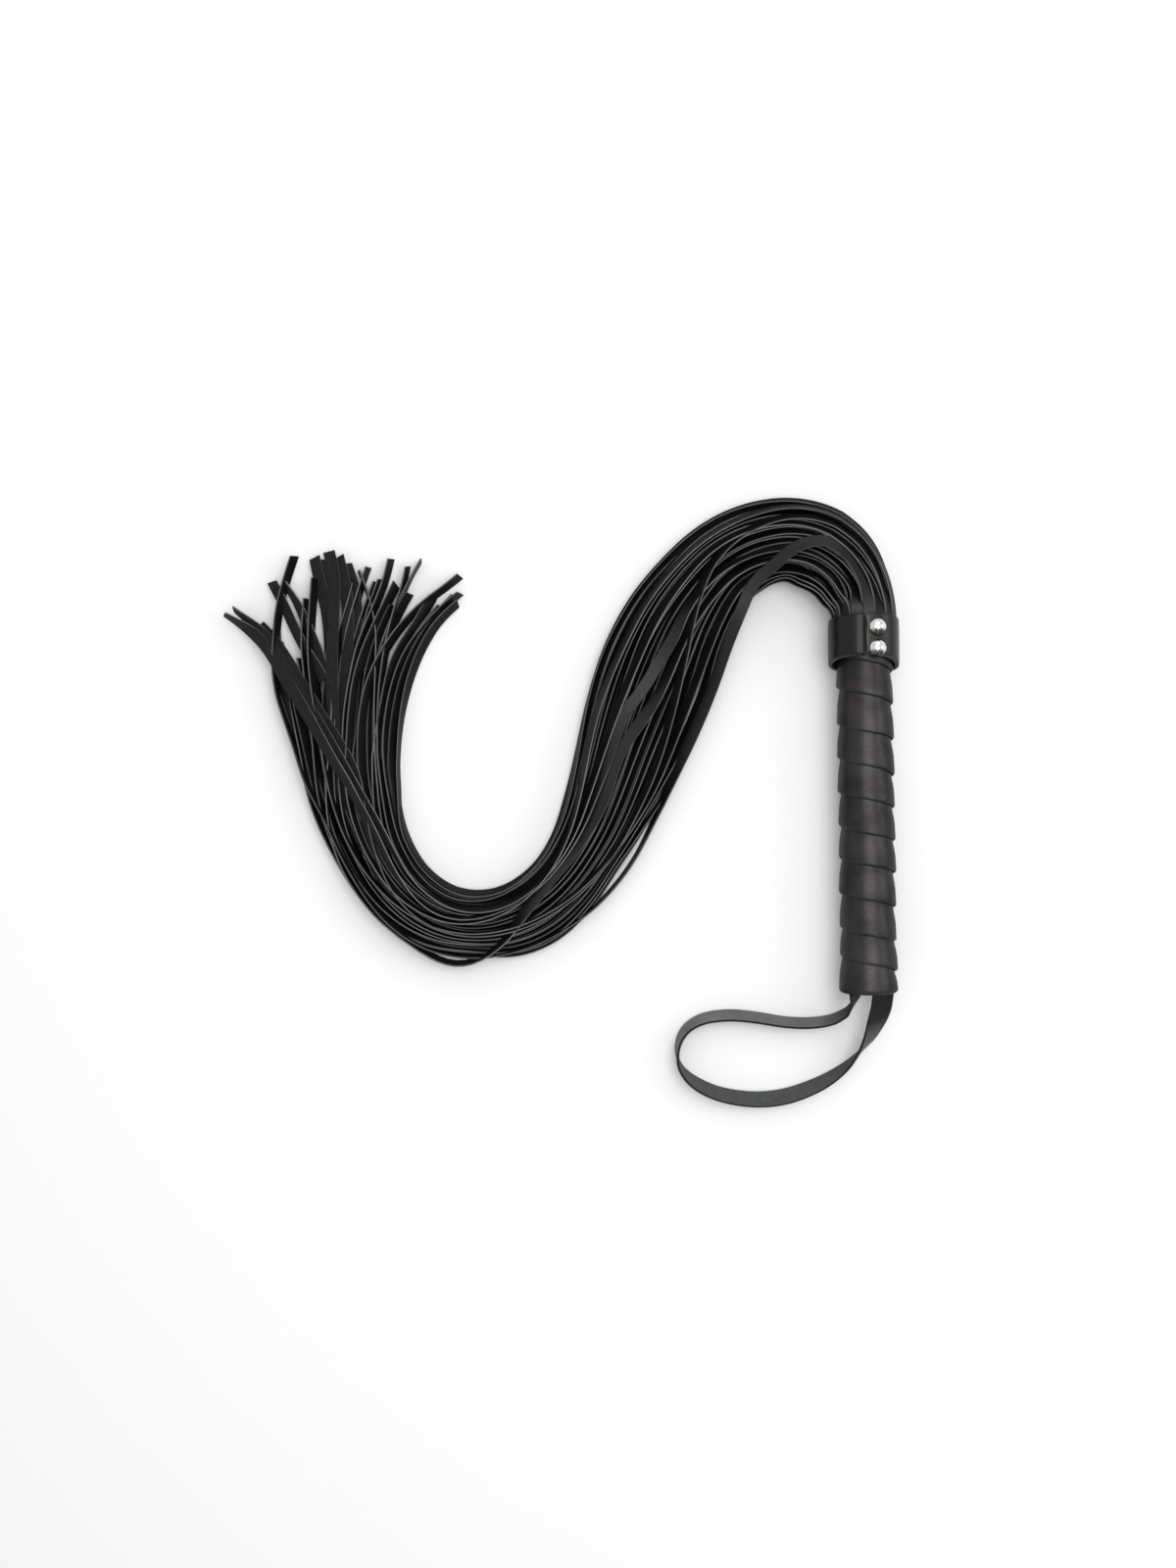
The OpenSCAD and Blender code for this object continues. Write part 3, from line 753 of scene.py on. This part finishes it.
def build_tail(number, layer):
    """One tail in two pieces, or three for the upper layer; the lower layer's main piece is
    attached to the lower_tails body.
    """
    node = "tail_%02d" % number
    stations, centres, across = tail_path(number, layer)
    last = len(centres) - 1

    def piece(name, start, end, **options):
        tangents = [centres[min(last, i + 1)] - centres[max(0, i - 1)]
                    for i in range(start, end + 1)]
        return strip_object(
            name, centres[start:end + 1], across[start:end + 1], tangents,
            (TAIL_FACE, TAIL_BACK, TAIL_EDGE), width=TAIL_WIDTH, thickness=TAIL_THICKNESS,
            bevel=0.235, rnd=chance(number, 77), **options)

    # the root reaches as far as the tail still climbs along +Y
    top = max(p.y for p, s in zip(centres, stations) if s < 110) - MOUTH_Y
    reach = min(0.8 * top, 24.0)
    cut = next(i for i, p in enumerate(centres) if p.y > MOUTH_Y + reach + 0.4)
    root = piece(node + "_root", 0, cut, cap_end=False)
    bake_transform(root)
    if layer == UPPER:
        root_end = cut
        cut = next(i for i, p in enumerate(centres) if p.x < -61.0)
        middle = piece(node + "_mid", root_end, cut, cap_start=False, cap_end=False)
        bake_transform(middle)
    main = piece(node, cut, last, cap_start=False, skew=(chance(number, 51) - 0.5) * 0.7)
    if layer == LOWER:
        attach(main, "lower_tails")
    elif layer == MIDDLE:
        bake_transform(main)
    else:
        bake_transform(main)
    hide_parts(node)


for number in range(1, TAIL_END):
    build_tail(number, layer=sum(number >= start for start in LAYER_START) - 1)


# ------------------------------------------- the uncut bands the tails are slit from
BAND_LOW, BAND_TOP = 166.0, 180.0
BAND_SEGMENTS = 96
# (node, inner radius, outer radius)
BANDS = [("root_band_inner", 11.03, 12.05), ("root_band_middle", 12.12, 13.12),
         ("root_band_outer", 13.2, 14.2)]


def build_band(node, inner, outer):
    # section as (height along Y, radius)
    section = [(BAND_LOW, outer), (BAND_TOP - 0.4, outer), (BAND_TOP, outer - 0.2),
               (BAND_TOP, inner + 0.2), (BAND_TOP - 0.4, inner), (BAND_LOW, inner)]
    verts = []
    for i in range(BAND_SEGMENTS):
        a = 2 * math.pi * i / BAND_SEGMENTS
        verts += [(r * math.cos(a), y, r * math.sin(a)) for y, r in section]
    faces, kinds = sweep_faces(BAND_SEGMENTS, len(section), (0, 1, 1, 1, 0, 1), closed=True)
    band = new_object(node + "_leather", verts, faces, (TAIL_FACE, TAIL_EDGE), kinds, sharp=32.0)
    on_handle(band, node)


for band_row in BANDS:
    build_band(*band_row)


# ------------------------------------------------------------- the grip's wrap
# (angle from +X towards +Z in degrees, height of the wrap's free lower edge)
WIND = [(-360, -1.0), (-180, 0.0), (0, 10.5), (180, 18.1), (360, 25.2), (540, 31.9),
        (720, 41.6), (900, 48.9), (1080, 58.1), (1260, 65.3), (1440, 73.8), (1620, 81),
        (1800, 89.5), (1980, 97.4), (2160, 105.6), (2340, 113.8), (2520, 122.6), (2700, 130.2),
        (2880, 139.7), (3060, 147.7), (3240, 156), (3420, 164), (3780, 180)]
WRAP_START, WRAP_END, WRAP_STEP = -372.0, 3440.0, 4.0    # degrees
WRAP_TOP = 165.6        # the last turn runs on a little under the collar
WRAP_TUCK = 4.6         # how far each turn runs on under the next
WRAP_INNER = 11.75


def wind(a):
    if a < -180:
        return 0.0
    angle = math.radians(a)
    waver = 0.22 * math.sin(angle * 0.61 + 1.3) + 0.13 * math.sin(angle * 2.3)
    return curve(WIND, a) + waver * smooth(a / 60.0)


def wrap_profile(a):
    """The wrap's section at an angle as (height along Y, radius), outer side first."""
    edge = wind(a)
    span = max(4.0, wind(a + 360) - edge)
    angle = math.radians(a)
    soft = 0.10 * math.sin(angle * 1.7 + 0.4) + 0.05 * math.sin(angle * 5.3)
    fat = 0.45 * (1 - smooth((a + 60) / 240.0))
    top = 13.6 + fat + soft
    low = 12.2 + fat * 0.5 + soft * 0.5
    lip = 12.4 + soft * 0.5 + (fat if a < -180 else 0.5 * fat)
    lip = mix(12.0, lip, smooth((a + 190) / 90.0))
    # (distance up from the free edge, radius)
    section = [
        (0.10, lip - 0.02), (0.0, mix(lip, top, 0.30)), (0.02, mix(lip, top, 0.62)),
        (0.16, mix(lip, top, 0.84)), (0.42, top - 0.03), (0.95, top + 0.06), (1.7, top + 0.08),
        (2.7, top + 0.02), (span * 0.5, mix(top, low, 0.17)), (span * 0.7, mix(top, low, 0.50)),
        (span * 0.87, mix(top, low, 0.87)), (span + 0.1, low),
        (span + WRAP_TUCK * 0.6, low - 0.16), (span + WRAP_TUCK, low - 0.3),
        (span + WRAP_TUCK, low - 0.82), (span * 0.5, WRAP_INNER), (0.7, 11.78),
        (0.25, lip - 0.45 if a > -100 else 11.8)]
    profile = []
    for up, r in section:
        if up < 1.8 and r > 12.0:
            # the butt's corner is rolled over
            near = 1 - up / 1.8
            r -= 1.7 * near * near * smooth((-100 - a) / 80.0)
        profile.append((clamp(edge + up, 0.0, WRAP_TOP), r))
    return profile


def build_wrap():
    steps = int((WRAP_END - WRAP_START) / WRAP_STEP)
    verts = []
    for i in range(steps + 1):
        a = WRAP_START + i * WRAP_STEP
        cos, sin = math.cos(math.radians(a)), math.sin(math.radians(a))
        grown = smooth((a - WRAP_START) / 14.0)    # the strip starts thin
        for y, r in wrap_profile(a):
            r = mix(11.9 + (r - WRAP_INNER) * 0.2, r, grown)
            verts.append((r * cos - 0.08 - 0.45 * smooth((y - 60) / 95.0), y, r * sin))
    # 0 face, 1 edge, 2 back
    kinds = [1] * 2 + [0] * 11 + [1] + [2] * 4
    faces, kinds = sweep_faces(steps + 1, len(kinds), kinds, start=1, end=1)
    wrap = new_object("grip_wrap_leather", verts, faces, (WRAP_FACE, WRAP_EDGE, TAIL_BACK), kinds,
                      sharp=50.0)
    on_handle(wrap, "grip_wrap")


build_wrap()


# ------------------------------------------------------------------ the collar
COLLAR_LOW, COLLAR_HEIGHT = 158.1, 22.6
COLLAR_INNER, COLLAR_THICKNESS = 14.3, 1.8
# degrees from +X towards +Z; the strap overlaps itself from OVERLAP on, climbing before it
COLLAR_START, COLLAR_END, COLLAR_STEP = -40.0, 95.0 + 360.0, 3.0
OVERLAP, CLIMB = COLLAR_START + 360, 26.0
# Section: (share of the height, offset along Y, 0 inner or 1 outer side, offset in radius)
COLLAR_SECTION = [
    (0, 0.231, 0, 0), (0, 0, 0, 0.35), (0, 0, 1, -0.62), (0, 0.12, 1, -0.26),
    (0, 0.42, 1, -0.05), (0, 0.95, 1, 0.0), (0.12, 0, 1, 0.05), (0.3, 0, 1, 0.1),
    (0.5, 0, 1, 0.12), (0.7, 0, 1, 0.1), (0.88, 0, 1, 0.05), (1, -0.95, 1, 0.0),
    (1, -0.42, 1, -0.05), (1, -0.12, 1, -0.26), (1, 0, 1, -0.62), (1, 0, 0, 0.35),
    (1, -0.231, 0, 0), (0.5, 0, 0, 0)]


def skive(a):
    """The strap's thickness: its hidden end is pared thin, and full from 52 degrees on."""
    return mix(0.45, COLLAR_THICKNESS, smooth((a - 18) / 34.0))


def collar_lift(a):
    """How far the outer turn stands off to clear the inner one."""
    return (skive(a - 360) + 0.03) * smooth((a - (OVERLAP - CLIMB - 1)) / CLIMB)


def collar_shift(a):
    """The collar sits over to -X, less so near the overlap."""
    return -1.9 * smooth((a - 60) / 60.0) * (1 - 0.7 * smooth((a - 290) / 70.0))


def build_collar():
    steps = int((COLLAR_END - COLLAR_START) / COLLAR_STEP)
    size = len(COLLAR_SECTION)
    verts = []
    for i in range(steps + 1):
        a = COLLAR_START + i * (COLLAR_END - COLLAR_START) / steps
        angle = math.radians(a)
        thickness = skive(a)
        to_end = COLLAR_END - a
        corner = 1.5 * (1 - clamp(to_end / 6.0)) ** 1.6    # rounds the flap's corners
        free = smooth((16 - to_end) / 16.0)                # the flap's end curls a little
        ripple = 0.0
        if a >= 55:
            ripple = 0.07 * math.sin(angle * 3 + 0.7) + 0.05 * math.sin(angle * 7)
        for share, offset_y, outer, offset_r in COLLAR_SECTION:
            # the flap's end is cut at a slant
            turned = math.radians(a + 5.2) if i == steps and not outer else angle
            r = COLLAR_INNER + collar_lift(a) + offset_r * (thickness / COLLAR_THICKNESS)
            if outer:
                r += thickness
                # a narrow groove beside the flap's end
                r -= 0.62 * math.exp(-((a - 99.5) / 2.4) ** 2)
                r += ripple * smooth(to_end / 7.0)
            r += 0.30 * free * (0.4 + 0.6 * math.cos(2 * math.pi * (share - 0.5)) ** 2)
            z = r * math.sin(turned)
            x = r * math.cos(turned) + collar_shift(a)
            low = (COLLAR_LOW + 0.25 + (0.31 if z > 0 else 0.18) * z - 0.055 * x
                   + 0.10 * math.sin(angle * 2.0) + corner * 0.4)
            high = (COLLAR_LOW + COLLAR_HEIGHT + 0.13 * z + 0.12 * math.sin(angle * 2.6 + 1.0)
                    - corner)
            wave = 0.25 * free * math.sin(share * 9.0 + 1.0) * (1 if outer else 0.6)
            verts.append((x + wave, mix(low, high, share) + offset_y, z))
    # 0 face, 1 edge, 2 back
    section_kinds = [1] * 2 + [0] * 12 + [1] * 2 + [2] * 2
    faces, kinds = sweep_faces(steps + 1, size, section_kinds, start=1, end=2)
    # the outer side shows a cut edge over the last step
    first = (steps - 1) * size + 3
    kinds[first:first + 11] = [1] * 11
    collar = new_object("collar_leather", verts, faces, (COLLAR_FACE, COLLAR_EDGE, TAIL_BACK),
                        kinds, sharp=40.0)
    on_handle(collar, "collar_strap")


build_collar()


# ------------------------------------------------------------------ the rivets
RIVET_SEGMENTS = 72
RIVET_AZIMUTH = 80.0    # degrees from +X towards +Z
RIVET_SEAT = COLLAR_INNER + 2 * COLLAR_THICKNESS - 0.04
RIVET_FOOT, RIVET_TOP = -0.55, 2.785
# (radius, height over the seat)
RIVET_PROFILE = [
    (3.7, RIVET_FOOT), (4.05, -0.4), (4.22, -0.12), (4.2, 0.2), (4.08, 0.55), (3.86, 0.95),
    (3.55, 1.36), (3.12, 1.76), (2.6, 2.12), (2.05, 2.40), (1.5, 2.59), (1.0, 2.70),
    (0.5, 2.765)]


def build_rivet(place):
    node = "rivet_cap_" + place
    low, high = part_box(node)
    y = (low[1] + high[1]) * 500.0 + 0.5
    azimuth = math.radians(RIVET_AZIMUTH)
    out = Vector((math.cos(azimuth), 0, math.sin(azimuth)))
    side = Vector((-math.sin(azimuth), 0, math.cos(azimuth)))
    up = Vector((0, 1, 0))
    seat = Vector((0, y, 0)) + out * RIVET_SEAT
    verts = [seat + out * RIVET_FOOT]
    for r, height in RIVET_PROFILE:
        for i in range(RIVET_SEGMENTS):
            t = 2 * math.pi * i / RIVET_SEGMENTS
            verts.append(seat + out * height + side * (r * math.cos(t)) + up * (r * math.sin(t)))
    verts.append(seat + out * RIVET_TOP)

    def at(row, i):
        return 1 + row * RIVET_SEGMENTS + i % RIVET_SEGMENTS

    last = len(RIVET_PROFILE) - 1
    faces = []
    for i in range(RIVET_SEGMENTS):
        faces.append((0, at(0, i), at(0, i + 1)))
        for row in range(last):
            faces.append((at(row, i), at(row + 1, i), at(row + 1, i + 1), at(row, i + 1)))
        faces.append((at(last, i), len(verts) - 1, at(last, i + 1)))
    rivet = new_object("rivet_%s_dome" % place, verts, faces, (NICKEL,), sharp=50.0)
    on_handle(rivet, node)


for rivet_place in ("upper", "lower"):
    build_rivet(rivet_place)


# -------------------------------------------------------------- the wrist strap
# Centre line: (x, y, z, tilt in degrees)
WRIST_LOOP = [
    (6.9, -1.0, 0, 180), (6.1, -8, -1.6, 168), (4.0, -15.7, -4.4, 150),
    (1.3, -23.2, -7.4, 126), (-3.7, -31.0, -9.8, 101), (-11.6, -39.0, -11, 80),
    (-23.5, -46.4, -11.4, 64), (-39.3, -52.0, -11.3, 57), (-55.2, -53.4, -11.3, 57),
    (-71.4, -50.8, -11.2, 60), (-83.6, -45.2, -11.1, 66), (-90.8, -38, -11, 80),
    (-92.8, -30, -11, 92), (-91.2, -22.8, -11, 99), (-86.6, -17, -11, 105),
    (-78.6, -13.2, -11, 109), (-67, -11.9, -11, 111), (-55.2, -12.9, -11, 111),
    (-39.3, -15.5, -11, 110), (-27.4, -16, -10.6, 109), (-17.6, -14.5, -9.2, 106),
    (-11.0, -11.0, -6.4, 98), (-8.0, -7.3, -3.4, 84), (-6.6, -4.1, -1.2, 66),
    (-6.2, -1.0, 0, 50)]
LOOP_STEPS = 9          # between two rows


def catmull(rows, u):
    """A Catmull-Rom spline through four-column rows; u counts rows."""
    i = min(int(u), len(rows) - 2)
    t = u - i
    b, c = rows[i], rows[i + 1]
    a = rows[i - 1] if i else tuple(2 * b[q] - c[q] for q in range(4))
    d = rows[i + 2] if i + 2 < len(rows) else tuple(2 * c[q] - b[q] for q in range(4))
    return tuple(0.5 * (2 * b[q] + (c[q] - a[q]) * t
                        + (2 * a[q] - 5 * b[q] + 4 * c[q] - d[q]) * t * t
                        + (3 * b[q] - a[q] - 3 * c[q] + d[q]) * t ** 3) for q in range(4))


def build_wrist_loop():
    last = (len(WRIST_LOOP) - 1) * LOOP_STEPS
    points = [catmull(WRIST_LOOP, i / LOOP_STEPS) for i in range(last + 1)]
    centres = [Vector(p[:3]) for p in points]
    down, up = Vector((0, -1, 0)), Vector((0, 1, 0))
    tangents, across = [], []
    for i in range(last + 1):
        along = (centres[min(last, i + 1)] - centres[max(0, i - 1)]).normalized()
        # both ends line up with the grip
        if i < 3:
            along = down.lerp(along, i / 3.0).normalized()
        if i > last - 3:
            along = up.lerp(along, (last - i) / 3.0).normalized()
        level = Vector((-along.y, along.x, 0)).normalized()
        rise = along.cross(level)
        tilt = math.radians(points[i][3])
        tangents.append(along)
        across.append(level * math.cos(tilt) + rise * math.sin(tilt))
    # both ends run on into the butt
    inside = (0.0, 1.2, 2.6)
    centres = ([Vector((6.9 - 0.3 * y, y, 0)) for y in reversed(inside)] + centres
               + [Vector((-6.2 + 0.2 * y, y, 0)) for y in inside])
    tangents = [down] * 3 + tangents + [up] * 3
    across = [across[0]] * 3 + across + [across[-1]] * 3
    loop = strip_object("wrist_loop_strap", centres, across, tangents,
                        (STRAP_BACK, STRAP_FACE, STRAP_EDGE), width=10.2, thickness=1.5,
                        bevel=0.2, rnd=0.5)
    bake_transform(loop)
    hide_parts("wrist_loop")


build_wrist_loop()


# ------------------------------------------------- materials of the CAD pieces
CAD_MATERIALS = {"handle_core": WOOD, "strap_end_left": STRAP_FACE,
                 "strap_end_right": STRAP_FACE}
for node_name, node_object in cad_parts.items():
    steel = "tack" in node_name or "post" in node_name
    default = STEEL if steel else TAIL_FACE
    node_object.data.materials.clear()
    node_object.data.materials.append(CAD_MATERIALS.get(node_name, default))


# ---------------------------------------------------- table, lights and camera
def build_floor():
    table, tree, surface = node_material("pale_table")
    set_inputs(tree, surface, {
        "Base Color": (0.845, 0.843, 0.847, 1), "Roughness": 0.9, "Specular IOR Level": 0.15})
    half, z = 2500, REST_Z - 0.25
    verts = [(-half, -half, z), (half, -half, z), (half, half, z), (-half, half, z)]
    new_object("floor", verts, [(0, 1, 2, 3)], (table,))


def area_light(name, place, target, size, power):
    """A round light aimed at target; size is in metres."""
    light = bpy.data.lights.new(name, "AREA")
    light.shape = "ELLIPSE"
    light.size = size
    light.size_y = size
    light.energy = power
    ob = bpy.data.objects.new(name, light)
    bpy.context.scene.collection.objects.link(ob)
    ob.location = [c * MM for c in place]
    aim = Vector(target) - Vector(place)
    ob.rotation_euler = aim.to_track_quat("-Z", "Y").to_euler()


def build_world():
    world = bpy.data.worlds.new("studio")
    world.use_nodes = True
    background = world.node_tree.nodes.get("Background")
    background.inputs["Color"].default_value = (1, 1, 1, 1)
    background.inputs["Strength"].default_value = 0.74
    bpy.context.scene.world = world


def build_camera():
    """Looks straight down; its place and clipping are in metres."""
    data = bpy.data.cameras.new("camera")
    data.lens = 38.25
    data.sensor_width = 36.0
    data.clip_start = 0.01
    data.clip_end = 20.0
    camera = bpy.data.objects.new("camera", data)
    bpy.context.scene.collection.objects.link(camera)
    camera.location = (-0.1353, 0.1027, 0.8089)
    camera.rotation_euler = (0, 0, -0.0103)
    bpy.context.scene.camera = camera


build_floor()
area_light("overhead", place=(110, 220, 1220), target=(-70, 110, 0), size=1.05, power=7.8)
area_light("side", place=(1150, 300, 700), target=(-120, 100, 0), size=0.7, power=2.8)
area_light("back", place=(120, 950, 760), target=(-120, 90, 0), size=0.8, power=1.5)
build_world()
build_camera()
view = bpy.context.scene.view_settings
view.view_transform = "Standard"
view.look = "None"
view.exposure = 0.0
